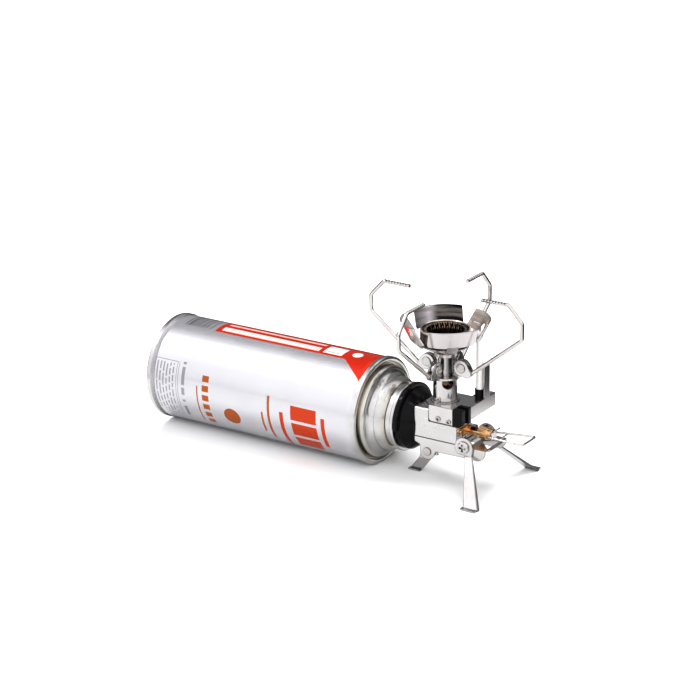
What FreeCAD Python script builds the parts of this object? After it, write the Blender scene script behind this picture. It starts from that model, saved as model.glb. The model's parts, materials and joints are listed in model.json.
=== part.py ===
"""Folding camp stove clipped to the end of a lying cassette gas canister.

Built around the burner's axis: x = y = 0 is the burner, z = 0 is the ground, -X runs to the
canister and +X to the valve knob. export() then moves the pieces to the row's origin, the centre
of the whole object's box at ground level. Millimetres.
"""
import FreeCAD, Part
import math
import os

# Driving dimensions
CAN_Z = 34.0            # height of the canister's axis, and the radius of its end seams
CAN_R = 33.3            # canister wall
CAN_WALL = 0.4
CAN_BASE_X = -202.5     # outer edge of the base seam
CAN_TOP_X = -44.4       # outer edge of the shoulder seam
SEAM = 3.2              # width of a rolled seam
FLANGE_X = -27.3        # canister's mounting flange
FLANGE_R = 21.6
COLLAR_X = -24.4        # stove's collar, from here to the regulator block
BLOCK_X0, BLOCK_X1 = -14.0, 15.7
BLOCK_Y = 13.0
BLOCK_Z0, BLOCK_Z1 = 28.5, 47.3
DECK_Z = 49.7           # underside of the top plate
PLATE = 0.8             # its sheet thickness
TUBE_R = 7.5            # mixing tube
TUBE_TOP = 65.2
NECK_R, NECK_TOP = 4.8, 79.2
BOWL_R, BOWL_Z = 15.3, 96.5
PETAL_LOW = (21.8, 90.6)    # wind shield petal, distance from the burner's axis and height
PETAL_HIGH = (27.5, 101.9)
PETAL_TURN = 43.0       # the petals stand almost on the diagonals
ARM_PIVOT = (12.0, 73.2)
ARM_PATH = ((15.9, 68.5), (52.7, 98.0), (52.8, 108.3), (43.5, 118.5), (25.1, 118.5))
ARM_R = 1.25            # wire of the pot arms
BRACKET_Z = 28.2        # top of the leg bracket's web
BRACKET_X0, BRACKET_X1 = -14.0, 35.6
LEG_PIVOT = (21.4, 28.2)
LEG_FOOT = (40.2, 38.0)     # x and |y| of a front foot
FOOT_PIVOT = (-5.0, 19.6)
FOOT_X = -21.1          # rear foot's x on the ground
SPINDLE_R = 2.5
HANDLE_X0, HANDLE_X1 = 33.0, 58.4
IGNITER_X, IGNITER_Y = 14.7, 16.0   # ceramic tube
GAP = 0.05              # running clearance of round fits
PLATE_SCREWS = ((2.7, 42.4), (10.1, 41.7))   # x and z
PLUG_YZ = (-4.6, 30.4)      # small plug on the block's end
BRACKET_SCREWS = ((-11.0, 9.0), (-11.0, -9.0), (9.5, 9.0), (9.5, -9.0))
ORIGIN_X = (CAN_BASE_X + HANDLE_X1 + 0.7) / 2
QUARTERS = {"right": 0, "back": 90, "left": 180, "front": 270}


def vec(x, y, z):
    return FreeCAD.Vector(x, y, z)


def can_section(x, r):
    return vec(x, 0, CAN_Z + r)


def side(u, w):
    """A point of the XZ plane, which is also the burner's half section."""
    return vec(u, 0, w)


def plan(u, w):
    return vec(u, w, 0)


def face(to_space, start, *steps):
    """Closed face. A step of two numbers is a line's end, one of four an arc's middle and end."""
    edges, here = [], to_space(*start)
    for step in steps + (start,):
        end = to_space(*step[-2:])
        if len(step) == 4:
            edges.append(Part.Arc(here, to_space(*step[:2]), end).toShape())
        elif (end - here).Length > 1e-6:
            edges.append(Part.makeLine(here, end))
        here = end
    return Part.Face(Part.Wire(edges))


def on_dome(apex_x, edge_x, edge_r):
    """Point halfway out on the sphere through an apex on the axis and an edge circle."""
    rise = apex_x - edge_x
    radius = (rise ** 2 + edge_r ** 2) / (2 * rise)
    return apex_x - radius + math.sqrt(radius ** 2 - edge_r ** 2 / 4), edge_r / 2


def spin_can(start, *steps):
    return face(can_section, start, *steps).revolve(vec(0, 0, CAN_Z), vec(1, 0, 0), 360)


def spin_burner(start, *steps):
    return face(side, start, *steps).revolve(vec(0, 0, 0), vec(0, 0, 1), 360)


def box(x0, x1, y0, y1, z0, z1):
    return Part.makeBox(x1 - x0, y1 - y0, z1 - z0, vec(x0, y0, z0))


def rod(start, axis, radius, length):
    return Part.makeCylinder(radius, length, vec(*start), vec(*axis))


def ring(start, axis, outer, inner, length):
    return rod(start, axis, outer, length).cut(rod(start, axis, inner, length))


def slab(outline, y0, y1):
    """Plate parallel to XZ between y0 and y1."""
    plate = outline.copy()
    plate.translate(vec(0, y0, 0))
    return plate.extrude(vec(0, y1 - y0, 0))


def hull_outline(u0, w0, r0, u1, w1, r1):
    """Outline around two circles in the XZ plane, with their two common tangents."""
    along, span = math.atan2(w1 - w0, u1 - u0), math.hypot(u1 - u0, w1 - w0)
    lean = math.acos((r0 - r1) / span)

    def on(u, w, r, angle):
        return (u + r * math.cos(angle), w + r * math.sin(angle))
    return face(side, on(u0, w0, r0, along + lean),
                on(u0, w0, r0, along + math.pi) + on(u0, w0, r0, along - lean),
                on(u1, w1, r1, along - lean),
                on(u1, w1, r1, along) + on(u1, w1, r1, along + lean))


def turned(shape, angle, centre=(0, 0, 0), axis=(0, 0, 1)):
    copy = shape.copy()
    copy.rotate(vec(*centre), vec(*axis), angle)
    return copy


def mirrored(shape):
    return shape.mirror(vec(0, 0, 0), vec(0, 1, 0))


def bent_wire(points, radius, bend):
    """Round wire along straight runs, with its corners bent to an arc."""
    edges, here = [], points[0]
    for corner, after in zip(points[1:], points[2:]):
        back, on = (here - corner).normalize(), (after - corner).normalize()
        half = back.getAngle(on) / 2
        first, last = corner + back * (bend / math.tan(half)), corner + on * (bend / math.tan(half))
        inward = (back + on).normalize()
        middle = corner + inward * (bend / math.sin(half) - bend)
        edges += [Part.makeLine(here, first), Part.Arc(first, middle, last).toShape()]
        here = last
    edges.append(Part.makeLine(here, points[-1]))
    section = Part.Wire(Part.makeCircle(radius, points[0], points[1] - points[0]))
    return Part.Wire(edges).makePipeShell([section], True, True)


def screw(seat, axis, head_r, head_h, shank_r, shank_l):
    """Pan head screw with a cross recess: head outwards along axis from seat, shank the other way."""
    head = Part.makeCylinder(head_r, head_h)
    head = head.makeFillet(head_h * 0.45, [edge for edge in head.Edges if edge.CenterOfMass.z > head_h * 0.9])
    slot = head_r * 0.6
    for wide, deep in ((slot, 0.16 * head_r), (0.16 * head_r, slot)):
        head = head.cut(box(-wide, wide, -deep, deep, head_h * 0.35, head_h * 2))
    body = head.fuse(Part.makeCylinder(shank_r, shank_l + 0.01, vec(0, 0, -shank_l)))
    body.Placement = FreeCAD.Placement(vec(*seat), FreeCAD.Rotation(vec(0, 0, 1), vec(*axis)))
    return body


def coil(base, axis, mean_r, wire_r, turns, height):
    helix = Part.makeHelix(height / turns, height, mean_r)
    section = Part.Wire(Part.makeCircle(wire_r, vec(mean_r, 0, 0), vec(0, 1, 0)))
    spring = Part.Wire(helix).makePipeShell([section], True, True)
    spring.Placement = FreeCAD.Placement(vec(*base), FreeCAD.Rotation(vec(0, 0, 1), vec(*axis)))
    return spring


def canister():
    """Welded tube with two rolled seams, a domed base, a stepped shoulder and the valve cup."""
    wall_in = CAN_R - CAN_WALL
    base, top = CAN_BASE_X + SEAM, CAN_TOP_X - SEAM
    body = spin_can((base, wall_in - 1.2), (base, wall_in - 0.8), (base + 3, CAN_R), (top - 3, CAN_R),
                    (top, wall_in - 0.8), (top, wall_in - 1.2), (top - 3, wall_in), (base + 3, wall_in))
    bottom = spin_can((base, CAN_Z), (CAN_BASE_X + 0.8, CAN_Z), (CAN_BASE_X, 33.1, CAN_BASE_X + 0.8, 32.2),
                      (base + 0.6, 31.0), (base + 1.6, 30.2, base + 0.9, 29.2),
                      (*on_dome(base + 7.6, base + 0.9, 29.2), base + 7.6, 0), (base + 8.1, 0),
                      (*on_dome(base + 8.1, base + 1.4, 29.3), base + 1.4, 29.3),
                      (base + 2.1, 30.3, base + 0.9, 31.5), (base, 31.6))
    shoulder = spin_can((top, CAN_Z), (CAN_TOP_X - 0.9, CAN_Z), (CAN_TOP_X, CAN_Z - 1.1, CAN_TOP_X - 0.2, 31.3),
                        (-47.0, 31.0), (-47.9, 30.3, -47.3, 29.5), (-43.6, 29.0), (-42.0, 28.4, -41.3, 26.8),
                        (-40.2, 24.6, -37.4, 23.3), (-32.6, 22.2, -31.2, 21.0), (-30.9, 18.0),
                        (-31.5, 18.0), (-31.8, 20.6), (-33.0, 21.7, -37.7, 22.8), (-40.6, 24.1, -41.8, 26.6),
                        (-42.5, 27.9, -43.9, 28.4), (-47.6, 28.9), (-48.6, 30.2, -47.6, 31.6), (top, 31.6))
    cup = spin_can((-30.8, FLANGE_R - 1.6), (FLANGE_X, FLANGE_R - 1.6), (FLANGE_X, 8.5), (-33.2, 7.9),
                   (-33.2, 5.6), (-27.2, 5.6), (-27.2, 2.6), (-33.9, 2.6), (-33.9, 8.4),
                   (-28.0, 9.0), (-28.0, 17.6), (-30.8, 17.6))
    flange = ring((FLANGE_X + GAP, 0, CAN_Z), (1, 0, 0), FLANGE_R, 9.5, 2.4)
    flange = flange.makeFillet(0.8, [e for e in flange.Edges if e.BoundBox.YLength > 2 * FLANGE_R - 1])
    flange = flange.cut(box(-30, -24, -2.2, 2.2, CAN_Z + FLANGE_R - 4, CAN_Z + FLANGE_R + 2))
    housing = ring((-45.0, 0, CAN_Z), (1, 0, 0), 5.5, 4.2, 11.0).fuse(
        ring((-47.0, 0, CAN_Z), (1, 0, 0), 5.5, 1.6, 2.0))
    stem = rod((-35.4, 0, CAN_Z), (1, 0, 0), 3.6, 1.4).fuse(rod((-34.0, 0, CAN_Z), (1, 0, 0), 1.9, 15.6))
    stem = stem.cut([rod((-31.0, 0, CAN_Z), (1, 0, 0), 0.8, 13.0), rod((-31.0, -3, CAN_Z), (0, 1, 0), 0.5, 6)])
    seal = ring((-27.1, 0, CAN_Z), (1, 0, 0), 5.2, 1.95, 1.4)
    spring = coil((-44.6, 0, CAN_Z), (1, 0, 0), 3.0, 0.35, 5, 8.2)
    dip_tube = bent_wire([vec(-47.1, 0, CAN_Z), vec(-70.0, 0, CAN_Z), vec(-88.0, 0, CAN_Z + 26)], 1.5, 12.0)
    return {"can_body": body, "can_base": bottom, "can_shoulder": shoulder, "can_valve_cup": cup,
            "can_flange": flange, "can_valve_housing": housing, "can_valve_stem": stem,
            "can_valve_seal": seal, "can_valve_spring": spring, "can_dip_tube": dip_tube}


def collar():
    """Black moulded socket that takes the canister's flange, with a ribbed rim over its top half."""
    socket = spin_can((COLLAR_X, 19.6), (-20.5, 19.4), (-16.0, 16.4), (BLOCK_X0 - 0.05, 14.5),
                      (BLOCK_X0 - 0.05, 4.2), (-16.6, 4.2), (-16.6, 14.4), (-20.6, 17.2), (COLLAR_X, 17.2))
    hood = spin_can((COLLAR_X, 19.2), (COLLAR_X, 21.6), (-23.9, 22.1), (-22.0, 22.1), (-21.5, 21.6),
                    (-21.5, 19.2))
    hood = hood.cut(box(-30, -10, -30, 30, 0, CAN_Z - 2))
    for angle in range(-75, 76, 10):
        groove = rod((-25, 0, CAN_Z + 22.5), (1, 0, 0), 0.7, 12)
        hood = hood.cut(turned(groove, angle, (0, 0, CAN_Z), (1, 0, 0)))
    key = box(-24.4, -20.0, -1.9, 1.9, CAN_Z + 17.0, CAN_Z + 19.0)
    return socket.fuse(hood).fuse(key)


def regulator():
    """Cast block with the pressure regulator, the valve's bore and the gas passages."""
    body = box(BLOCK_X0, BLOCK_X1, -BLOCK_Y, BLOCK_Y, BLOCK_Z0, BLOCK_Z1)
    body = body.makeFillet(1.4, [e for e in body.Edges if abs(abs(e.CenterOfMass.y) - BLOCK_Y) < 0.1
                                 and e.CenterOfMass.z > BLOCK_Z1 - 0.1])
    deck = box(-3.2, 12.9, -BLOCK_Y + PLATE + 0.1, BLOCK_Y, BLOCK_Z1 - 3, DECK_Z)
    body = body.fuse(deck).cut(box(12.9, 20, -20, 20, 39.4, 60))
    body = body.cut([box(-4.1, 20, -20, -BLOCK_Y + PLATE + 0.1, 39.6, 60), box(9.0, 20, 4.5, 20, 32.6, 39.4)])
    chamber = rod((-5, 0, BLOCK_Z0), (0, 0, 1), 8.0, 13.0)
    bore = rod((5.0, 0, CAN_Z), (1, 0, 0), SPINDLE_R + GAP, 20)
    inlet = rod((BLOCK_X0, 0, CAN_Z), (1, 0, 0), 3.0 + GAP, 1.2)
    jet_seat = rod((0, 0, 45.0), (0, 0, 1), 2.2, 10)
    passage = rod((6.0, 0, CAN_Z), (0, 0, 1), 0.9, 5).fuse(rod((0, 0, 38), (0, 0, 1), 0.9, 9))
    plug_hole = rod((BLOCK_X1 - 0.6, *PLUG_YZ), (1, 0, 0), 0.9 + GAP, 2)
    screw_holes = [rod((x, -BLOCK_Y, z), (0, 1, 0), 0.85 + GAP, 3.2) for x, z in PLATE_SCREWS]
    screw_holes += [rod((x, y, BLOCK_Z0), (0, 0, 1), 1.1 + GAP, 3.2) for x, y in BRACKET_SCREWS]
    body = body.cut([chamber, bore, inlet, jet_seat, passage, plug_hole] + screw_holes)
    cap = rod((-5, 0, BLOCK_Z0), (0, 0, 1), 8.0 - GAP, 2.2).cut(rod((-5, 0, 29.9), (0, 0, 1), 4.6, 2))
    spring = coil((-5, 0, 30.45), (0, 0, 1), 3.8, 0.45, 4, 6.3)
    diaphragm = spin_about(-5, (0, 37.4), (3, 37.4), (4.5, 38.2, 7.9, 37.6), (7.9, 38.4), (4.3, 39.0, 3, 38.2),
                           (0, 38.2))
    gland = rod((BLOCK_X1, 0, CAN_Z), (1, 0, 0), 3.1, 2.4)
    lug = face(lambda y, z: vec(BLOCK_X1, y, z), (-1.0, 37.2), (-8.0, 37.2), (-10.0, 35.2, -8.0, 33.2),
               (-2.0, 32.7))
    gland = gland.fuse(lug.extrude(vec(1.4, 0, 0)))
    gland = gland.cut([rod((BLOCK_X1, 0, CAN_Z), (1, 0, 0), SPINDLE_R + GAP, 4),
                       rod((BLOCK_X1, -8.0, 35.2), (1, 0, 0), 1.2, 4)])
    plug = screw((BLOCK_X1, *PLUG_YZ), (1, 0, 0), 1.8, 1.0, 0.9, 0.5)
    nipple = rod((-19.6, 0, CAN_Z), (1, 0, 0), 3.0, 6.6).cut(rod((-20, 0, CAN_Z), (1, 0, 0), 2.0, 3.2))
    nipple = nipple.cut(rod((-20, 0, CAN_Z), (1, 0, 0), 0.8, 8))
    nipple = nipple.fuse(ring((-16.4, 0, CAN_Z), (1, 0, 0), 4.1, 2.9, 1.6))
    o_ring = ring((-18.9, 0, CAN_Z), (1, 0, 0), 4.0, 3.1, 1.0)
    return {"regulator_block": body,
            "regulator_cap": cap, "regulator_spring": spring, "regulator_diaphragm": diaphragm,
            "valve_gland": gland, "block_plug": plug, "inlet_nipple": nipple, "inlet_seal": o_ring}


def spin_about(x, start, *steps):
    shape = face(side, start, *steps).revolve(vec(0, 0, 0), vec(0, 0, 1), 360)
    shape.translate(vec(x, 0, 0))
    return shape


def top_plate():
    """Folded sheet on the block: a front flange, a skirt to the right and a post on its edge."""
    top = DECK_Z + PLATE
    sheet = face(plan, (-4.0, -13.0), (13.0, -13.0), (13.0, -3.6), (20.0, -3.6), (20.0, 26.0), (11.0, 26.0),
                 (11.0, 13.0), (-9.5, 13.0), (-9.5, -7.6)).extrude(vec(0, 0, PLATE))
    sheet.translate(vec(0, 0, DECK_Z))
    flange = slab(face(side, (-4.0, top), (-4.0, 42.5), (-3.3, 40.7, -1.5, 40.0), (12.8, 40.0), (12.8, top)),
                  -13.0, -13.0 + PLATE)
    skirt = box(20.0 - PLATE, 20.0, -3.6, 26.0, 42.3, top)
    rear = box(11.0, 20.0, 26.0 - PLATE, 26.0, 42.3, top)
    post = box(20.0 - PLATE, 20.0, 12.8, 19.0, top - PLATE, 72.0)
    post = post.makeFillet(2.0, [e for e in post.Edges if e.CenterOfMass.z > 71.9 and e.BoundBox.YLength < 0.1])
    plate = sheet.fuse([flange, skirt, rear, post]).removeSplitter()
    plate = plate.cut([rod((0, 0, 40), (0, 0, 1), 3.6, 20),
                       rod((IGNITER_X, IGNITER_Y, 45), (0, 0, 1), 3.05, 10)])
    for x, z in PLATE_SCREWS:
        plate = plate.cut(rod((x, -20, z), (0, 1, 0), 0.85 + GAP, 10))
    return plate


def mixing_tube():
    """Air tube with four scalloped air holes under the hub, over the brass jet."""
    tube = ring((0, 0, DECK_Z + PLATE), (0, 0, 1), TUBE_R, TUBE_R - 0.8, TUBE_TOP - DECK_Z - PLATE)
    tube = tube.fuse(ring((0, 0, DECK_Z + PLATE), (0, 0, 1), TUBE_R + 1.3, TUBE_R - 0.1, 0.7))
    for angle in range(45, 360, 90):
        hole = turned(rod((0, 0, 63.0), (1, 0, 0), 3.5, 12), angle)
        tube = tube.cut(hole)
    tube = tube.cut(rod((0, -12, 52.7), (0, 1, 0), 0.95, 8))
    jet = rod((0, 0, DECK_Z + PLATE), (0, 0, 1), 3.4, 4.5).fuse(rod((0, 0, 54.9), (0, 0, 1), 2.4, 5.6))
    jet = jet.fuse(rod((0, 0, 45.1), (0, 0, 1), 2.1, 5.5)).cut(rod((0, 0, 44), (0, 0, 1), 0.5, 18))
    return {"mixing_tube": tube, "gas_jet": jet}


def burner():
    """Neck, cup, slotted flame ring and the plate below it."""
    neck = ring((0, 0, TUBE_TOP), (0, 0, 1), NECK_R, NECK_R - 0.8, NECK_TOP - TUBE_TOP)
    cup = spin_burner((NECK_R - 0.8, NECK_TOP + GAP), (7.0, NECK_TOP + GAP), (7.4, 81.4), (9.2, 83.0),
                      (14.7, 85.6), (BOWL_R, 86.6),
                      (BOWL_R, 96.0), (BOWL_R - 0.5, BOWL_Z), (BOWL_R - 1.1, 96.0), (BOWL_R - 1.1, 87.2),
                      (14.0, 86.4), (8.8, 84.0), (6.4, 82.2), (6.0, 80.1), (NECK_R - 0.8, 80.1))
    flame_ring = ring((0, 0, 89.0), (0, 0, 1), BOWL_R - 1.2, 11.6, 6.4)
    slots = []
    for step in range(24):
        slot = box(10.5, 13.4, -0.45, 0.45, 90.2, 97)
        slots.append(turned(turned(slot, 18, (12, 0, 92), (1, 0, 0)), step * 15))
    flame_ring = flame_ring.cut(slots)
    plate = spin_burner((0, 90.2), (9.0, 89.9), (11.5, 89.0), (11.5, 88.4), (8.8, 89.3), (0, 89.6))
    return {"burner_neck": neck, "burner_cup": cup, "flame_ring": flame_ring, "burner_plate": plate}


def wind_shield_petal():
    """Flared petal facing +X with its strut under the cup; the petals stand on the diagonals."""
    (r0, z0), (r1, z1) = PETAL_LOW, PETAL_HIGH
    lean = math.atan2(r1 - r0, z1 - z0)
    dx, dz = 0.7 * math.cos(lean), 0.7 * math.sin(lean)
    profile = face(side, (r0, z0), (r1, z1), (r1 - dx, z1 + dz), (r0 - dx, z0 + dz))
    shell = turned(profile.revolve(vec(0, 0, 0), vec(0, 0, 1), 88), -44)
    outline = face(lambda y, z: vec(0, y, z), (-12.0, z0 - 1), (12.0, z0 - 1), (14.0, z0 + 0.1, 14.7, z0 + 1.8),
                   (15.1, z1 - 1.0), (14.6, z1 + 0.4, 13.3, z1 + 1.0), (-13.3, z1 + 1.0),
                   (-14.6, z1 + 0.4, -15.1, z1 - 1.0), (-14.7, z0 + 1.8), (-14.0, z0 + 0.1, -12.0, z0 - 1))
    petal = shell.common(outline.extrude(vec(40, 0, 0)))
    strut = slab(face(side, (14.2, 84.62), (16.2, 85.0), (r0 + 0.35, z0 + 0.5), (r0 - 0.4, z0 + 0.9),
                      (15.8, 85.9), (14.2, 85.25)), -3.5, 3.5)
    return petal.fuse(strut).removeSplitter()


def support_hub():
    """Ring on the mixing tube with four lugs for the pot arms."""
    hub = ring((0, 0, TUBE_TOP + GAP), (0, 0, 1), 9.2, NECK_R + GAP, 1.6)
    u, w = ARM_PIVOT
    base = TUBE_TOP + 2 * GAP
    lug = slab(face(side, (5.6, base), (9.1, base), (u + 2.4, w - 2.4), (u + 3.4, w, u, w + 3.4),
                    (u - 2.4, w + 2.4, u - 3.4, w), (5.6, base + 3)), -1.15, 1.15)
    lug = lug.cut(rod((u, -5, w), (0, 1, 0), 1.5, 10))
    for angle in QUARTERS.values():
        hub = hub.fuse(turned(lug, angle))
    return hub.removeSplitter()


def arm_rivet():
    u, w = ARM_PIVOT
    rivet = rod((u, -2.2, w), (0, 1, 0), 1.5, 4.4)
    for y, direction in ((-2.15, -1), (2.15, 1)):
        head = rod((u, y, w), (0, direction, 0), 2.9, 0.9)
        rivet = rivet.fuse(head.makeFillet(0.5, [e for e in head.Edges if abs(e.CenterOfMass.y) > 3]))
    return rivet


def pot_arm():
    """Toothed wire arm in the +X plane."""
    wire = bent_wire([side(*point) for point in ARM_PATH], ARM_R, 3.2)
    top = ARM_PATH[-1][1]
    bed = wire.cut(box(20, 42.5, -3, 3, top + 0.75, top + 3))
    for step in range(8):
        tooth = face(side, (26.2 + 2.0 * step, top + 1.8), (27.2 + 2.0 * step, top - 0.2),
                     (28.2 + 2.0 * step, top + 1.8))
        bed = bed.cut(slab(tooth, -3, 3))
    return bed


def arm_clip():
    """Two cheeks on the hub's lug, joined under the wire."""
    u, w = ARM_PIVOT
    outline = hull_outline(u, w, 5.0, u + 4.0, w - 2.9, 2.9)
    inner = hull_outline(u, w, 4.3, u + 4.0, w - 2.9, 2.2)
    web = slab(outline, -1.35, 1.35).cut(slab(inner, -1.35, 1.35))
    keep = face(side, (u + 2.2, w - 4.0), (u + 3.0, w - 9.0), (u + 12, w - 9.0), (u + 9.5, w - 3.5))
    web = web.common(slab(keep, -2, 2))
    clip = slab(outline, -2.1, -1.3).fuse([slab(outline, 1.3, 2.1), web])
    clip = clip.cut(rod((u, -5, w), (0, 1, 0), 1.5 + GAP, 10))
    start, end = (side(*point) for point in ARM_PATH[:2])
    return clip.cut(Part.makeCylinder(ARM_R + GAP, 20, start, end - start))


def leg_bracket():
    """Inverted channel under the block, with ears for the front legs and the rear foot."""
    web = face(plan, (BRACKET_X0, -13.0), (BRACKET_X1, -13.0), (BRACKET_X1 + 1.0, 0, BRACKET_X1, 13.0),
               (BRACKET_X0, 13.0)).extrude(vec(0, 0, 1.0))
    web.translate(vec(0, 0, BRACKET_Z - 1.0))
    lip = web.common(box(33.8, 40, -9.0, 9.0, 0, 50))
    lip.translate(vec(0, 0, -0.7))
    web = web.cut(box(33.8, 40, -8.2, 8.2, BRACKET_Z - 0.7, BRACKET_Z + 1)).fuse(lip)
    px, pz = LEG_PIVOT
    fx, fz = FOOT_PIVOT
    cheek = face(side, (BRACKET_X0, BRACKET_Z), (BRACKET_X0, 24.9), (fx - 5.2, 23.4), (fx - 5.2, fz),
                 (fx, fz - 5.2, fx + 4.8, fz - 1.8), (fx + 6.0, 20.6), (px + 6.0, 20.8),
                 (33.4, 22.0, BRACKET_X1, 26.0),
                 (BRACKET_X1, BRACKET_Z), (px + 5.0, BRACKET_Z), (px, pz + 5.0, px - 5.0, BRACKET_Z))
    bracket = web.fuse([slab(cheek, -13.0, -12.0), slab(cheek, 12.0, 13.0)])
    window = face(plan, (26.2, 0), (33.9, -7.8), (33.9, 7.8)).extrude(vec(0, 0, 10))
    window.translate(vec(0, 0, BRACKET_Z - 5))
    holes = [rod((px, -20, pz), (0, 1, 0), 2.0 + GAP, 40), rod((fx, -20, fz), (0, 1, 0), 1.5, 40)]
    bracket = bracket.cut([window] + holes)
    for x, y in BRACKET_SCREWS:
        bracket = bracket.cut(rod((x, y, 20), (0, 0, 1), 1.2, 10))
    return bracket.removeSplitter()


def bracket_screws():
    return Part.makeCompound([screw((x, y, BRACKET_Z - 1.0), (0, 0, -1), 2.0, 1.1, 1.1, 4.3)
                              for x, y in BRACKET_SCREWS])


def section(x, y, z, half, thick):
    """Level cut through a sheet strip: its width runs along X, its thickness from y to y + thick."""
    corners = [vec(x - half, y, z), vec(x + half, y, z),
               vec(x + half, y + thick, z), vec(x - half, y + thick, z)]
    return Part.makePolygon(corners + corners[:1])


def front_leg():
    """Near leg: a flat eye outside the bracket, then a strip leaning out to its foot."""
    px, pz = LEG_PIVOT
    fx, fy = LEG_FOOT
    bend = pz - 4.8
    eye = slab(hull_outline(px, pz, 6.2, px + 3.2, bend, 2.4), -14.3, -13.1)
    eye = eye.cut([rod((px, -20, pz), (0, 1, 0), 2.0 + GAP, 10), box(0, 60, -20, 0, 0, bend)])

    strip = Part.makeLoft([section(px + 3.2, -14.3, bend, 2.4, 1.2), section(fx, -fy, 0, 4.8, 1.4)], True, True)
    edge = Part.makeLoft([section(px + 5.2, -14.3, bend, 0.4, 1.2), section(fx + 4.4, -fy, 0, 0.4, 2.8)],
                         True, True)
    toe = box(fx - 5.7, fx + 4.2, -fy - 2.4, -fy + 0.4, 0, 1.1)
    return eye.fuse([strip, edge, toe])


def leg_screw():
    px, pz = LEG_PIVOT
    return screw((px, -14.4, pz), (0, -1, 0), 3.8, 1.8, 2.0, 3.6)


def rear_foot():
    """Strip pinned inside the near cheek, leaning in to the middle of the stove."""
    fx, fz = FOOT_PIVOT
    eye = slab(face(side, (fx + 4.6, fz), (fx, fz + 4.6, fx - 4.6, fz), (fx - 6.4, fz - 5.6),
                    (fx + 1.4, fz - 5.6)), -11.9, -10.8)
    stop = slab(face(side, (fx + 2, fz + 2), (fx + 6.4, fz + 0.8), (fx + 7.0, fz - 1.5), (fx + 2, fz - 2.4)),
                -11.9, -10.8)
    eye = eye.fuse(stop).cut(rod((fx, -20, fz), (0, 1, 0), 1.5 + GAP, 20))

    strip = Part.makeLoft([section(fx - 2.5, -11.9, fz - 5.4, 3.9, 1.1), section(FOOT_X, -0.6, 0, 4.1, 1.1)],
                          True, True)
    toe = box(FOOT_X - 4.1, FOOT_X + 4.1, -2.6, 0.3, 0, 1.0)
    return eye.fuse([strip, toe])


def foot_rivet():
    fx, fz = FOOT_PIVOT
    pin = rod((fx, -13.1, fz), (0, 1, 0), 1.5, 2.5)
    outer = rod((fx, -13.05, fz), (0, -1, 0), 2.6, 0.8)
    inner = rod((fx, -10.7, fz), (0, 1, 0), 2.4, 0.8)
    return pin.fuse([outer, inner])


def igniter():
    """Piezo pusher beside the block, its boot, ceramic tube and spark wire."""
    mouth_y = -6.0
    housing = box(13.0, 19.1, mouth_y, 20.0, 42.0, DECK_Z - 0.1)
    housing = housing.fuse(box(13.05, 19.9, mouth_y, -3.7, 40.4, DECK_Z + PLATE))
    housing = housing.cut(box(13.7, 18.5, -12, 4.0, 42.8, 48.9))
    button = slab(face(side, (13.3, 50.6), (13.3, 42.8), (16.5, 39.6, 19.7, 42.8), (19.7, 50.6)), -14.2, -9.7)
    button = button.makeFillet(0.7, [e for e in button.Edges if abs(e.CenterOfMass.y + 14.2) < 0.1])
    button = button.fuse(box(13.8, 18.4, -9.8, -2.5, 42.9, 48.8))
    spring = coil((16.1, -2.2, 45.9), (0, 1, 0), 1.5, 0.25, 5, 5.9)
    boot = ring((IGNITER_X, IGNITER_Y, DECK_Z), (0, 0, 1), 3.0, 2.3, 5.4)
    ceramic = ring((IGNITER_X, IGNITER_Y, DECK_Z), (0, 0, 1), 2.25, 0.75, 42.0)
    spark = bent_wire([vec(IGNITER_X, IGNITER_Y, 52.0), vec(IGNITER_X, IGNITER_Y, 96.4),
                       vec(IGNITER_X - 3.1, IGNITER_Y - 3.1, 98.5)], 0.7, 1.6)
    return {"piezo_housing": housing, "piezo_button": button, "piezo_spring": spring,
            "electrode_boot": boot, "electrode_insulator": ceramic, "electrode_wire": spark}


def valve():
    """Needle valve: spindle, seal, knurled hub and the yoke that the wire handle folds in."""
    spindle = rod((8.0, 0, CAN_Z), (1, 0, 0), SPINDLE_R, 18.0)
    spindle = spindle.cut(ring((10.2, 0, CAN_Z), (1, 0, 0), SPINDLE_R + 1, 1.9, 1.1))
    spindle = spindle.fuse(Part.makeCone(0.5, SPINDLE_R, 2.4, vec(5.7, 0, CAN_Z), vec(1, 0, 0)))
    seal = ring((10.25, 0, CAN_Z), (1, 0, 0), SPINDLE_R, 1.92, 1.0)
    hub = spin_can((24.0, SPINDLE_R + GAP), (24.0, 3.4), (24.4, 3.7), (29.8, 3.7), (30.2, 3.3),
                   (33.0, 3.3), (33.4, 3.0), (33.4, 0), (26.1, 0), (26.1, SPINDLE_R + GAP))
    for step in range(18):
        groove = rod((24.8, 0, CAN_Z + 3.9), (1, 0, 0), 0.4, 4.6)
        hub = hub.cut(turned(groove, step * 20, (0, 0, CAN_Z), (1, 0, 0)))
    hub = hub.cut(rod((31.8, -6, CAN_Z), (0, 1, 0), 0.75, 12))
    yoke = box(33.5, 34.3, -3.2, 3.2, CAN_Z - 2.6, CAN_Z + 2.6)
    yoke = yoke.fuse(slab(face(side, (33.5, CAN_Z + 2.4), (34.3, CAN_Z + 1.8), (37.8, CAN_Z + 4.7),
                               (37.4, CAN_Z + 5.4)), -1.6, 1.6))
    return {"valve_spindle": spindle, "valve_seal": seal, "knob_hub": hub, "knob_tab": yoke}


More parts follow.
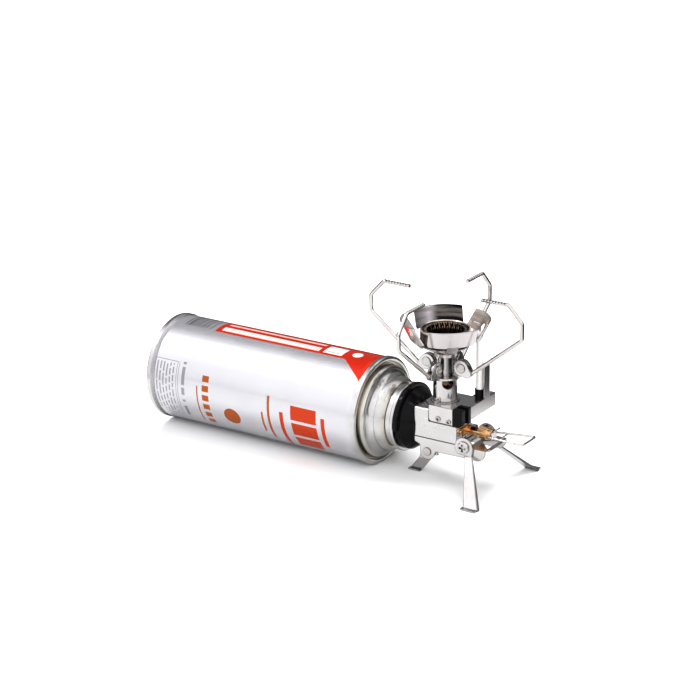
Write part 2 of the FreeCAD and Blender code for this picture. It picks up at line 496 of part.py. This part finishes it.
def wire_handle():
    """Folding wire loop, sprung into the hub's cross hole, with a short stay across it."""
    x0, x1 = HANDLE_X0 - 1.2, HANDLE_X1
    points = [vec(x0, 2.2, CAN_Z), vec(x0, 4.7, CAN_Z), vec(x1, 8.0, CAN_Z + 1.2), vec(x1, -8.0, CAN_Z + 1.2),
              vec(x0, -4.7, CAN_Z), vec(x0, -2.2, CAN_Z)]
    loop = bent_wire(points, 0.7, 1.4)
    return loop.fuse(rod((x0 + 9.0, -5.8, CAN_Z + 0.35), (0, 1, 0), 0.5, 11.6))


def plate_screws():
    return Part.makeCompound([screw((x, -BLOCK_Y, z), (0, -1, 0), 1.7, 0.7, 0.85, 3.0)
                              for x, z in PLATE_SCREWS])


def build():
    nodes = canister()
    nodes["collar"] = collar()
    nodes.update(regulator())
    nodes["top_plate"] = top_plate()
    nodes["plate_screws"] = plate_screws()
    nodes.update(mixing_tube())
    nodes["tube_screw"] = screw((0, -TUBE_R - 0.02, 52.7), (0, -1, 0), 1.4, 0.6, 0.9, 2.2)
    nodes.update(burner())
    petal = wind_shield_petal()
    for name, angle in QUARTERS.items():
        nodes["wind_shield_" + name] = turned(petal, angle + PETAL_TURN)
    notch = rod((IGNITER_X, IGNITER_Y, 70), (0, 0, 1), 3.0, 40)
    nodes["wind_shield_right"] = nodes["wind_shield_right"].cut(notch)
    nodes["support_hub"] = support_hub()
    nodes["arm_rivets"] = Part.makeCompound([turned(arm_rivet(), angle) for angle in QUARTERS.values()])
    for name, angle in QUARTERS.items():
        nodes["pot_arm_" + name] = turned(pot_arm(), angle)
        nodes["arm_clip_" + name] = turned(arm_clip(), angle)
    nodes["leg_bracket"] = leg_bracket()
    nodes["bracket_screws"] = bracket_screws()
    nodes["leg_front"] = front_leg()
    nodes["leg_back"] = mirrored(front_leg())
    nodes["leg_screws"] = Part.makeCompound([leg_screw(), mirrored(leg_screw())])
    nodes["rear_foot"] = rear_foot()
    nodes["foot_rivet"] = foot_rivet()
    nodes.update(igniter())
    nodes.update(valve())
    nodes["wire_handle"] = wire_handle()
    return nodes


def export(nodes):
    os.makedirs("parts", exist_ok=True)
    for name, shape in nodes.items():
        shape.translate(vec(-ORIGIN_X, 0, 0))
        shape.exportStep("parts/" + name + ".step")


export(build())
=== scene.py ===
"""Looks of the canister stove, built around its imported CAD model. Metres, row frame."""
import json
import math

import bpy
from mathutils import Matrix, Vector


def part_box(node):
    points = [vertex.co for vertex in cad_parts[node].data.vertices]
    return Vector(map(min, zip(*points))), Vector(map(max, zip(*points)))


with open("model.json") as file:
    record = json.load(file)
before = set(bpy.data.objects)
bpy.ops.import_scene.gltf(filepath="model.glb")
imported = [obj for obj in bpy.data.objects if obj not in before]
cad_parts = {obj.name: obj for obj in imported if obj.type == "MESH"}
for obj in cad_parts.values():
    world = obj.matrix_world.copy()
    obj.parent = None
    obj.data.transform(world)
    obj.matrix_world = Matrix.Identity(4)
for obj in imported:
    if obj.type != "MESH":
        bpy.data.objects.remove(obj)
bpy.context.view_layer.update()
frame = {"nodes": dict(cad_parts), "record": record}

MM = 0.001
DEGREE = math.radians(1.0)

# Places worked out from the CAD pieces
TUBE_LOW, TUBE_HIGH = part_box("mixing_tube")
BURNER = (Vector(TUBE_LOW) + Vector(TUBE_HIGH)) / 2  # the burner's vertical axis passes here
BURNER.z = 0
CAN_LOW, CAN_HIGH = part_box("can_body")
CAN_AXIS_Z = (CAN_LOW[2] + CAN_HIGH[2]) / 2
CAN_RADIUS = 0.0333

# The camera's view, which also orients the studio around the object
AZIMUTH, ELEVATION, ROLL = 0.5823, 0.350, -0.0121        # radians
DISTANCE, AIM = 1.61239, Vector((-0.06879, 0, 0.06905))  # the aim is measured from BURNER
LENS_MM, SENSOR_MM, FARTHEST = 134.3, 36.0, 20.0
TOWARD = Vector((math.sin(AZIMUTH), -math.cos(AZIMUTH), 0))   # level, from object to camera
SIDEWAYS = Vector((math.cos(AZIMUTH), math.sin(AZIMUTH), 0))  # level, to the picture's right

# Brightness of the studio's parts
SKY_TINT, SKY_STRENGTH, BACKDROP = (1.0, 1.0, 1.015), 1.02, 0.8
DIM_SIDE, LOW_SKY, WALL_DARKNESS = 0.17, 0.86, 0.82
PAPER, PAPER_STAIN, PAPER_MIRRORED, PAPER_BEYOND = 0.74, 0.73, 0.43, 0.03

# Zones of the burner: heights, and distances from its axis
CUP_WALL_Z, CUP_RIM_Z = 0.0868, 0.0952      # feet of the wall painted dark as painted shade, and of the straw coloured rim
SLOT_FADE_Z = 0.0915, 0.0935                # the painted highlight on the flame ring's slots shows above this
SLOT_FADE_OUT = 0.0131, 0.0128              # and inside this
SLOT_PITCH, SLOT_SLANT = 7.5, -900.0        # degrees, and degrees per metre of height
PLATE_BLACK = 0.007, 0.0105                 # the plate turns from brown to black here
BACK_SHADED = BURNER.dot(SIDEWAYS) - 6 * MM  # right of this, the back petal is painted near black: painted shade

# Zones of the can's shoulder, as distances from the can's axis
GILT_GROOVE = 0.0285, 0.0309
GILT_DEEP = 0.0210, 0.0232

# What several pieces share
TIN_RINGS_OUT, TIN_RINGS_ALONG, BRASS_RINGS = 1600.0, 700.0, 2600.0  # noise cells per metre
FINE_EDGE, SMALL_EDGE, CUT_EDGE = 0.3 * MM, 0.4 * MM, 0.8 * MM       # radii of shaded edges
SEAM_REACH = 1.2 * MM
COAT_ROUGHNESS = 0.08
NOISE_DETAIL = 3.0
EDGE_SAMPLES = 6


def rgb(red, green, blue):
    return (red, green, blue, 1)


def grey(level):
    return rgb(level, level, level)


# Colours of painted shade on cut edges and seams of metal, and on the petals' edges.
EDGE_SHADE, PETAL_EDGE_SHADE = rgb(0.06, 0.055, 0.055), rgb(0.05, 0.045, 0.045)


class Tree:
    """Shader nodes of one material or world, made by short calls."""

    def __init__(self, owner, coordinates):
        owner.use_nodes = True
        self.owner, self.tree = owner, owner.node_tree
        self.place = self.node("ShaderNodeTexCoord").outputs[coordinates]

    def node(self, kind, *inputs, **settings):
        """A node with its first inputs fed in order; None leaves an input as it is."""
        node = self.tree.nodes.new(kind)
        for key, value in settings.items():
            setattr(node, key, value)
        for socket, value in zip(node.inputs, inputs):
            self.feed(socket, value)
        return node

    def feed(self, socket, value):
        if isinstance(value, bpy.types.NodeSocket):
            self.tree.links.new(value, socket)
        elif value is not None:
            socket.default_value = value

    def calc(self, operation, first, second=0.0, third=0.0):
        return self.node("ShaderNodeMath", first, second, third, operation=operation).outputs[0]

    def line(self, value, slope, start):
        return self.calc("MULTIPLY_ADD", value, slope, start)

    def product(self, *factors):
        total = factors[0]
        for factor in factors[1:]:
            total = self.calc("MULTIPLY", total, factor)
        return total

    def union(self, *masks):
        total = masks[0]
        for mask in masks[1:]:
            total = self.calc("MAXIMUM", total, mask)
        return total

    def outside(self, mask):
        return self.calc("SUBTRACT", 1.0, mask)

    def length(self, first, second):
        squares = self.product(first, first), self.product(second, second)
        return self.calc("SQRT", self.calc("ADD", *squares))

    def apart(self, vector=None):
        """The x, y and z of the place, or of another vector."""
        return self.node("ShaderNodeSeparateXYZ", vector or self.place).outputs

    def dot(self, first, second):
        node = self.node("ShaderNodeVectorMath", first, second, operation="DOT_PRODUCT")
        return node.outputs["Value"]

    def along(self, direction):
        """How far the place reaches along a direction."""
        return self.dot(self.place, tuple(direction))

    def noise(self, scale, stretch=(1, 1, 1)):
        where = self.node("ShaderNodeMapping", self.place)
        where.inputs["Scale"].default_value = stretch
        noise = self.node("ShaderNodeTexNoise", where.outputs[0])
        noise.inputs["Scale"].default_value = scale
        noise.inputs["Detail"].default_value = NOISE_DETAIL
        return noise.outputs[0]

    def rings(self, value):
        """Noise that changes with one value only, such as turning marks."""
        noise = self.node("ShaderNodeTexNoise", noise_dimensions="1D")
        self.feed(noise.inputs["W"], value)
        return noise.outputs[0]

    def span(self, value, low, high, start=0.0, end=1.0):
        """Runs smoothly from start to end while value runs from low to high."""
        node = self.node("ShaderNodeMapRange", value, low, high, start, end,
                         interpolation_type="SMOOTHSTEP")
        return node.outputs[0]

    def above(self, value, limit, soft):
        return self.span(value, limit - soft, limit + soft)

    def between(self, value, low, high, soft):
        return self.product(self.above(value, low, soft),
                            self.outside(self.above(value, high, soft)))

    def mix(self, factor, first, second):
        node = self.node("ShaderNodeMix", factor, data_type="RGBA")
        self.feed(node.inputs[6], first)
        self.feed(node.inputs[7], second)
        return node.outputs[2]

    def patchy(self, pattern, low, high, first, second):
        """The first colour where a pattern is below low, the second where it is above high."""
        return self.mix(self.span(pattern, low, high), first, second)


class Finish(Tree):
    """A material whose colour, roughness and relief come from nodes."""

    def __init__(self, name, metallic=1.0, coat=0.0):
        super().__init__(bpy.data.materials.new(name), "Object")
        self.surface = self.tree.nodes["Principled BSDF"]
        self.set(Metallic=metallic, Coat_Weight=coat, Coat_Roughness=COAT_ROUGHNESS)

    def set(self, **sockets):
        for name, value in sockets.items():
            self.feed(self.surface.inputs[name.replace("_", " ")], value)

    def relief(self, height, distance, strength, normal=None):
        bump = self.node("ShaderNodeBump")
        for name, value in (("Strength", strength), ("Distance", distance),
                            ("Height", height), ("Normal", normal)):
            self.feed(bump.inputs[name], value)
        self.set(Normal=bump.outputs[0])

    def face(self):
        return self.node("ShaderNodeNewGeometry").outputs["Normal"]

    def rounding(self, radius):
        """Shading of slightly rounded edges, and a mask that is 1 on them."""
        bevel = self.node("ShaderNodeBevel", radius)
        bevel.samples = EDGE_SAMPLES
        match = self.dot(bevel.outputs[0], self.face())
        return bevel.outputs[0], self.span(match, 0.995, 0.86)

    def crevice(self, reach):
        """Mask that is 1 in recesses, slots and seams between pieces, where shade falls; it sets
        where shade is painted.
        """
        shade = self.node("ShaderNodeAmbientOcclusion", grey(1.0), reach, samples=EDGE_SAMPLES)
        return self.span(shade.outputs["AO"], 0.30, 0.80, 1.0, 0.0)

    def worn(self, color, dark, rough, spread, grain=180.0, stretch=(1, 1, 1)):
        """Colour that drifts to a darker one, and fine grain in the roughness."""
        broad, fine = self.noise(45.0), self.noise(grain, stretch)
        drift = self.patchy(broad, 0.3, 0.75, color, dark)
        self.set(Base_Color=drift, Roughness=self.line(fine, spread, rough - spread / 2))
        return fine, drift


def put_camera():
    """Long lens from the near right, a little above."""
    back = TOWARD * math.cos(ELEVATION) + Vector((0, 0, math.sin(ELEVATION)))
    above = back.cross(SIDEWAYS)
    right = SIDEWAYS * math.cos(ROLL) + above * math.sin(ROLL)
    up = above * math.cos(ROLL) - SIDEWAYS * math.sin(ROLL)
    data = bpy.data.cameras.new("camera")
    data.lens, data.sensor_width, data.clip_end = LENS_MM, SENSOR_MM, FARTHEST
    camera = bpy.data.objects.new("camera", data)
    turn = Matrix((right, up, back)).transposed().to_4x4()
    camera.matrix_world = Matrix.Translation(BURNER + AIM + back * DISTANCE) @ turn
    bpy.context.collection.objects.link(camera)
    bpy.context.scene.camera = camera


def put_world():
    """Softbox all round but for a dim side behind the object, with dark walls low at the right
    and at the far left. The camera itself sees a plain pale backdrop."""
    world = bpy.data.worlds.new("studio")
    bpy.context.scene.world = world
    sky = Tree(world, "Generated")
    up, near, right = sky.apart()[2], sky.along(TOWARD), sky.along(SIDEWAYS)
    box = sky.span(near, -0.62, -0.22, DIM_SIDE, 1.0)
    low = sky.span(up, 0.0, 0.42, LOW_SKY, 1.0)
    dark_right = sky.product(sky.span(right, 0.62, 0.80), sky.span(up, 0.30, 0.62, 1.0, 0.0))
    dark_left = sky.product(sky.span(right, -0.80, -0.95), sky.span(near, 0.25, 0.05))
    walls = sky.outside(sky.product(sky.union(dark_right, dark_left), WALL_DARKNESS))
    backdrop = sky.product(sky.node("ShaderNodeLightPath").outputs["Is Camera Ray"], BACKDROP)
    light = sky.node("ShaderNodeVectorMath", SKY_TINT, operation="SCALE")
    sky.feed(light.inputs["Scale"], sky.union(sky.product(box, low, walls), backdrop))
    back = world.node_tree.nodes["Background"]
    sky.feed(back.inputs["Color"], light.outputs[0])
    sky.feed(back.inputs["Strength"], SKY_STRENGTH)


def put_light(name, place, aim, size, watts, mirrored=True):
    data = bpy.data.lights.new(name, "AREA")
    data.shape, data.energy = "RECTANGLE", watts
    data.size, data.size_y = size
    light = bpy.data.objects.new(name, data)
    light.location = place
    light.rotation_euler = (Vector(aim) - Vector(place)).to_track_quat("-Z", "Y").to_euler()
    light.visible_glossy = mirrored
    bpy.context.collection.objects.link(light)


def put_floor():
    """Pale paper. In the metal's mirrors it is painted darker, and near black a little way behind
    and beside the object: painted reflection."""
    bpy.ops.mesh.primitive_plane_add(size=12, location=(0, 0, 0))
    floor = bpy.context.object
    floor.name = "floor"
    paper = Finish("floor_paper", 0.0)
    plain = paper.worn(grey(PAPER), grey(PAPER_STAIN), rough=0.8, spread=0.05)[1]
    near, right = paper.along(TOWARD), paper.along(SIDEWAYS)
    beyond_left = paper.product(paper.span(right, -0.22, -0.28), paper.span(near, 0.05, -0.02))
    beyond_right, behind = paper.span(right, 0.17, 0.22), paper.span(near, -0.08, -0.13)
    beyond = paper.union(beyond_right, beyond_left, behind)
    glossy = paper.node("ShaderNodeLightPath").outputs["Is Glossy Ray"]
    seen = paper.mix(glossy, plain, grey(PAPER_MIRRORED))
    # For glossy rays only, the paper is painted darker, near black beyond: painted reflection.
    paper.set(Base_Color=paper.mix(paper.product(glossy, beyond), seen, grey(PAPER_BEYOND)),
              Specular_IOR_Level=0.0)
    floor.data.materials.append(paper.owner)


class Print:
    """Shapes printed on the can's wall: x in mm along it, turn in degrees from the top to the
    near side."""

    EDGE, TURN_EDGE = 0.12, 0.25  # half the width of a shape's soft edge, in mm and in degrees

    def __init__(self, finish):
        self.f = finish
        x, y, z = finish.apart()
        self.x = finish.calc("DIVIDE", x, MM)
        angle = finish.calc("ARCTAN2", finish.product(y, -1.0),
                            finish.calc("SUBTRACT", z, CAN_AXIS_Z))
        self.turn = finish.calc("DIVIDE", angle, DEGREE)

    def patch(self, x0, x1, turn0, turn1):
        return self.f.product(self.f.between(self.x, x0, x1, self.EDGE),
                              self.f.between(self.turn, turn0, turn1, self.TURN_EDGE))

    def beats(self, along, period, filled, seed):
        """Breaks a line of print into short runs of uneven length."""
        step = self.f.calc("FLOOR", self.f.calc("DIVIDE", along, period))
        chance = self.f.node("ShaderNodeTexWhiteNoise", None, self.f.calc("ADD", step, seed),
                             noise_dimensions="1D").outputs[0]
        return self.f.calc("LESS_THAN", chance, filled)

    def row(self, along, period, filled):
        """Evenly spaced short bars."""
        beat = self.f.calc("FRACT", self.f.calc("DIVIDE", along, period))
        return self.f.calc("LESS_THAN", beat, filled)

    def disc(self, x, turn, radius):
        across = self.f.product(self.f.calc("SUBTRACT", self.turn, turn), CAN_RADIUS * DEGREE / MM)
        far = self.f.length(across, self.f.calc("SUBTRACT", self.x, x))
        return self.f.outside(self.f.above(far, radius, self.EDGE))


def printed_can():
    """Satin silver coat with a red band that ends in a pointed flag, and plain blocks and bars."""
    f = Finish("can_print", coat=0.12)
    p = Print(f)
    fine = f.noise(900.0)
    coat = f.patchy(f.noise(30.0), 0.35, 0.7, rgb(0.74, 0.735, 0.765), rgb(0.705, 0.70, 0.735))

    band = p.patch(-94.0, 26.0, -24.0, 15.0)
    slope = f.calc("SUBTRACT", p.x, f.line(p.turn, 0.73, -6.4))
    flag = f.product(f.above(slope, 0.0, 0.2), f.between(p.turn, 14.0, 41.0, p.TURN_EDGE))
    long_row = f.product(p.patch(-90.0, -16.5, 2.5, 11.0), p.row(p.x, 2.5, 0.7))
    short_row = f.product(p.patch(-90.0, -16.5, -8.5, -4.0), p.row(p.x, 1.7, 0.6))
    label = p.patch(-13.0, 0.5, -6.5, 11.0)
    lines = f.product(p.patch(-11.5, -1.5, -4.0, 8.5), p.beats(p.turn, 2.1, 0.5, 8.0))
    white = f.union(long_row, short_row, label, p.disc(9.5, 2.0, 3.4))

    bars = f.product(p.patch(-119.0, -97.0, -16.0, 13.5), p.beats(p.x, 0.55, 0.5, 21.0))
    frame_line = f.calc("SUBTRACT", p.patch(-125.2, -107.6, 62.0, 131.0),
                        p.patch(-124.8, -108.0, 62.8, 130.2))
    columns = [f.product(p.patch(x, x + 1.0, 65.0, 127.0), p.beats(p.turn, 2.3, 0.72, 5.0 * n))
               for n, x in enumerate((-123.4, -120.9, -118.4, -115.9, -113.4, -110.9))]
    title = f.product(p.patch(-103.6, -101.2, 61.0, 128.0), p.beats(p.turn, 2.9, 0.78, 40.0))
    dark_grey = f.union(frame_line, title, p.patch(-106.6, -106.2, 62.0, 128.0), *columns)

    dashes = [p.patch(-87.5, -82.5, turn, turn + 7.0) for turn in range(71, 131, 11)]
    brown = f.union(*dashes, p.patch(-91.8, -90.8, 84.0, 132.0),
                    p.patch(-37.6, -35.8, 77.0, 133.0), p.patch(-42.4, -41.0, 97.0, 124.0),
                    p.disc(-66.0, 113.0, 6.2))
    blocks = [p.patch(-20.0, -1.0, turn, turn + 16.5) for turn in (82.0, 102.0, 122.0)]
    orange = f.union(*blocks, p.patch(2.4, 5.2, 89.0, 128.0), p.patch(-28.4, -25.6, 92.0, 145.0))

    color = coat
    for mask, ink in ((f.product(bars, 0.75), rgb(0.16, 0.16, 0.17)),
                      (f.product(dark_grey, 0.72), rgb(0.20, 0.20, 0.22)),
                      (brown, rgb(0.38, 0.09, 0.012)),
                      (orange, rgb(0.52, 0.045, 0.005)),
                      (f.union(band, flag), rgb(0.60, 0.025, 0.006)),
                      (white, rgb(0.62, 0.60, 0.57)),
                      (lines, rgb(0.25, 0.25, 0.26))):
        color = f.mix(mask, color, ink)
    less_metal = f.line(f.union(band, flag, brown, orange), -0.30, 0.86)
    f.set(Base_Color=color, Roughness=f.line(fine, 0.05, 0.215),
          Metallic=f.product(less_metal, f.line(white, -0.9, 1.0)))
    f.relief(fine, 0.01 * MM, 0.2)
    return f.owner


def tinplate(name, gilt=0.0):
    """Bright spun tinplate with fine turning rings and a golden lacquer left in its grooves."""
    f = Finish(name)
    x, y, z = f.apart()
    far = f.length(y, f.calc("SUBTRACT", z, CAN_AXIS_Z))
    rings = f.rings(f.calc("ADD", f.product(far, TIN_RINGS_OUT), f.product(x, TIN_RINGS_ALONG)))
    steel = f.patchy(f.noise(60.0, (1, 2.2, 1)), 0.3, 0.75,
                     rgb(0.80, 0.79, 0.77), rgb(0.66, 0.65, 0.65))
    golden = f.union(f.between(far, *GILT_GROOVE, 0.3 * MM), f.span(far, *GILT_DEEP, 1.0, 0.0))
    f.set(Base_Color=f.mix(f.product(golden, gilt), steel, rgb(0.50, 0.40, 0.20)),
          Roughness=f.line(rings, 0.10, 0.17))
    f.relief(rings, 0.03 * MM, 0.3)
    return f.owner


def metal(name, color, dark, rough, spread, grain=260.0, stretch=(1, 1, 1), edge=0.0, painted_shade=0.9):
    """Bare metal with fine grain. With an edge radius, its cut edges and seams are painted dark:
    painted shade.
    """
    f = Finish(name)
    fine, drift = f.worn(color, dark, rough, spread, grain, stretch)
    normal = None
    if edge:
        normal, mask = f.rounding(edge)
        # Edges and seams are painted dark here: painted shade.
        edge_and_seam_shade = f.union(f.product(mask, painted_shade), f.crevice(SEAM_REACH))
        f.set(Base_Color=f.mix(edge_and_seam_shade, drift, EDGE_SHADE))
    f.relief(fine, 0.02 * MM, 0.3, normal)
    return f.owner


def plastic(name, color, dark, rough, coat=0.0, gloss=0.5):
    """Moulded or glazed material that isn't metal."""
    f = Finish(name, 0.0, coat)
    f.set(Specular_IOR_Level=gloss)
    fine = f.worn(color, dark, rough, spread=0.10, grain=400.0)[0]
    f.relief(fine, 0.03 * MM, 0.35, f.rounding(SMALL_EDGE)[0])
    return f.owner


def around_burner(finish):
    """Turn about the burner's axis in degrees, and distance from the axis."""
    x, y = finish.apart()[:2]
    out_x, out_y = finish.calc("SUBTRACT", x, BURNER.x), finish.calc("SUBTRACT", y, BURNER.y)
    turn = finish.calc("DIVIDE", finish.calc("ARCTAN2", out_y, out_x), DEGREE)
    return turn, finish.length(out_x, out_y)


def neck_steel():
    """Bare tube darkened by heat, with upright streaks."""
    f = Finish("neck_steel")
    streak = f.noise(260.0, (1, 1, 0.05))
    f.set(Base_Color=f.patchy(streak, 0.35, 0.62, rgb(0.60, 0.58, 0.57), rgb(0.16, 0.15, 0.15)),
          Roughness=f.line(streak, 0.12, 0.10))
    f.relief(streak, 0.03 * MM, 0.3)
    return f.owner


def cup_steel():
    """Bright bottom, a wall painted dark as painted shade, and a rim with straw heat colours."""
    f = Finish("cup_steel")
    z = f.apart()[2]
    streak = f.noise(190.0, (1, 1, 0.3))
    bare = f.patchy(streak, 0.35, 0.7, rgb(0.74, 0.70, 0.68), rgb(0.42, 0.38, 0.37))
    # The wall's near black colour is painted shade.
    painted_shade = f.patchy(f.noise(300.0), 0.4, 0.7, rgb(0.035, 0.03, 0.03), rgb(0.13, 0.10, 0.085))
    straw = f.patchy(f.noise(150.0), 0.35, 0.7, rgb(0.94, 0.84, 0.74), rgb(0.62, 0.48, 0.38))
    rim = f.above(z, CUP_RIM_Z, 0.2 * MM)
    wall = f.product(f.above(z, CUP_WALL_Z, 0.2 * MM), f.outside(rim))
    f.set(Base_Color=f.mix(rim, f.mix(wall, bare, painted_shade), straw),
          Roughness=f.line(streak, 0.14, 0.14))
    f.relief(streak, 0.03 * MM, 0.3, f.rounding(FINE_EDGE)[0])
    return f.owner


def ring_steel():
    """Burnt black flame ring whose slanted slots are painted near white: a painted highlight."""
    f = Finish("ring_steel")
    turn, far = around_burner(f)
    z = f.apart()[2]
    beat = f.calc("FRACT", f.calc("DIVIDE", f.line(z, SLOT_SLANT, turn), SLOT_PITCH))
    # The slots are painted near white here: painted highlight.
    slot_highlight = f.product(f.span(beat, 0.05, 0.14), f.span(beat, 0.50, 0.60, 1.0, 0.0),
                     f.span(far, *SLOT_FADE_OUT), f.span(z, *SLOT_FADE_Z))
    burn_and_shade = f.patchy(f.noise(240.0), 0.4, 0.7, rgb(0.03, 0.026, 0.024), rgb(0.09, 0.07, 0.06))
    f.set(Base_Color=f.mix(slot_highlight, burn_and_shade, rgb(0.95, 0.92, 0.88)),
          Roughness=f.line(beat, 0.1, 0.22))
    return f.owner


def plate_steel():
    """Stained brown in the middle, black towards the edge."""
    f = Finish("plate_steel")
    far = around_burner(f)[1]
    stain = f.noise(200.0)
    brown = f.patchy(stain, 0.35, 0.7, rgb(0.56, 0.41, 0.31), rgb(0.30, 0.21, 0.15))
    f.set(Base_Color=f.mix(f.span(far, *PLATE_BLACK), brown, rgb(0.06, 0.05, 0.045)),
          Roughness=f.line(stain, 0.2, 0.26))
    f.relief(stain, 0.05 * MM, 0.4)
    return f.owner


def turned_brass():
    """Warm brass with fine turning rings along the valve's axis."""
    f = Finish("turned_brass")
    rings = f.rings(f.product(f.apart()[0], BRASS_RINGS))
    f.set(Base_Color=f.patchy(f.noise(110.0), 0.3, 0.75,
                              rgb(0.93, 0.61, 0.33), rgb(0.66, 0.35, 0.15)),
          Roughness=f.line(rings, 0.12, 0.10))
    f.relief(rings, 0.02 * MM, 0.2, f.rounding(FINE_EDGE)[0])
    return f.owner


def shield_steel(name, inside, stain, shaded_from=None, oxide=0.0):
    """Wind shield petal: bare outside, heat tinted inside. Given a limit along SIDEWAYS, it is
    painted near black beyond it: painted shade.
    The oxide makes its inner face that much less metallic."""
    f = Finish(name)
    x, y = f.apart()[:2]
    face_x, face_y = f.apart(f.face())[:2]
    facing_out = f.calc("ADD", f.product(face_x, f.calc("SUBTRACT", x, BURNER.x)),
                        f.product(face_y, f.calc("SUBTRACT", y, BURNER.y)))
    inner = f.span(facing_out, -6 * MM, 2 * MM, 1.0, 0.0)
    streak = f.noise(70.0, (0.4, 0.4, 5.0))
    tint = f.patchy(streak, 0.35, 0.68, inside, stain)
    # Right of the given limit the petal is painted near black: painted shade.
    if shaded_from is not None:
        burn_and_shade = f.patchy(streak, 0.40, 0.60, rgb(0.012, 0.010, 0.010), rgb(0.16, 0.14, 0.13))
        tint = f.mix(f.span(f.along(SIDEWAYS), shaded_from - 4 * MM, shaded_from + 3 * MM),
                     tint, burn_and_shade)
    bare = f.patchy(f.noise(60.0), 0.3, 0.8, rgb(0.90, 0.86, 0.85), rgb(0.82, 0.78, 0.77))
    normal, edges = f.rounding(SMALL_EDGE)
    # The petal's edges are painted dark here: painted shade.
    f.set(Base_Color=f.mix(f.product(edges, 0.85), f.mix(inner, bare, tint), PETAL_EDGE_SHADE),
          Roughness=f.line(streak, 0.16, 0.14), Metallic=f.line(inner, -oxide, 1.0))
    f.relief(streak, 0.03 * MM, 0.25, normal)
    return f.owner


put_camera()
put_floor()
put_world()
put_light("front", TOWARD * 2.2 + Vector((0, 0, 1.7)), aim=(0, 0, 0), size=(2.8, 1.6),
          watts=48.0, mirrored=False)
put_light("rear", TOWARD * -0.9 + Vector((0, 0, 1.9)), aim=(0, 0, 0), size=(1.8, 1.2),
          watts=58.0, mirrored=False)
put_light("strip", (-0.75, -0.35, 1.0), aim=(0, 0, 0.05), size=(0.07, 0.7), watts=2.2)
view = bpy.context.scene.view_settings
view.view_transform, view.look = "Standard", "Medium High Contrast"

# Finishes by the record's material slot
FINISHES = {
    "printed_steel": printed_can(),
    "tin_steel": tinplate("tinplate"),
    "inner_steel": metal("plain_steel", grey(0.6), grey(0.5), rough=0.35, spread=0.1),
    "black_plastic": plastic("black_plastic", rgb(0.004, 0.004, 0.005), rgb(0.006, 0.005, 0.005),
                             rough=0.14, gloss=0.15),
    "block_alloy": metal("cast_block", rgb(0.76, 0.75, 0.74), rgb(0.70, 0.69, 0.68),
                         rough=0.26, spread=0.08, grain=500.0, edge=CUT_EDGE),
    "stainless_sheet": metal("stainless_sheet", rgb(0.78, 0.76, 0.755), rgb(0.68, 0.655, 0.65),
                             rough=0.18, spread=0.08, grain=400.0, stretch=(0.15, 1, 1),
                             edge=CUT_EDGE),
    "stainless_wire": metal("bright_wire", rgb(0.84, 0.81, 0.79), rgb(0.70, 0.66, 0.64),
                            rough=0.05, spread=0.04, grain=300.0),
    "burner_steel": neck_steel(),
    "screw_steel": metal("plated_screw", rgb(0.72, 0.70, 0.68), rgb(0.50, 0.48, 0.46),
                         rough=0.09, spread=0.05, grain=500.0, edge=SMALL_EDGE, painted_shade=0.95),
    "brass": turned_brass(),
    "rubber": plastic("rubber", grey(0.02), grey(0.03), rough=0.6),
    "white_ceramic": plastic("glazed_ceramic", rgb(0.86, 0.86, 0.85), rgb(0.80, 0.79, 0.78),
                             rough=0.22, coat=0.4),
    "white_plastic": plastic("white_plastic", rgb(0.80, 0.80, 0.78), rgb(0.74, 0.74, 0.72),
                             rough=0.45),
}
# Finishes of single pieces, which come before their slot's
SPECIAL = {
    "can_shoulder": tinplate("gilt_tinplate", gilt=0.3),
    "burner_cup": cup_steel(),
    "flame_ring": ring_steel(),
    "burner_plate": plate_steel(),
    "wind_shield_right": shield_steel("shield_right", rgb(0.76, 0.68, 0.62),
                                      rgb(0.42, 0.35, 0.30), oxide=0.25),
    "wind_shield_front": shield_steel("shield_front", rgb(0.30, 0.27, 0.25),
                                      rgb(0.12, 0.10, 0.09)),
    "wind_shield_left": shield_steel("shield_left", rgb(0.84, 0.81, 0.80),
                                     rgb(0.66, 0.62, 0.60), oxide=0.4),
    "wind_shield_back": shield_steel("shield_back", rgb(0.56, 0.52, 0.54),
                                     rgb(0.34, 0.31, 0.32), shaded_from=BACK_SHADED),
}

for part in frame["record"]["subparts"]:
    materials = frame["nodes"][part["node"]].data.materials
    materials.clear()
    materials.append(SPECIAL.get(part["node"], FINISHES[part["material_slot"]]))
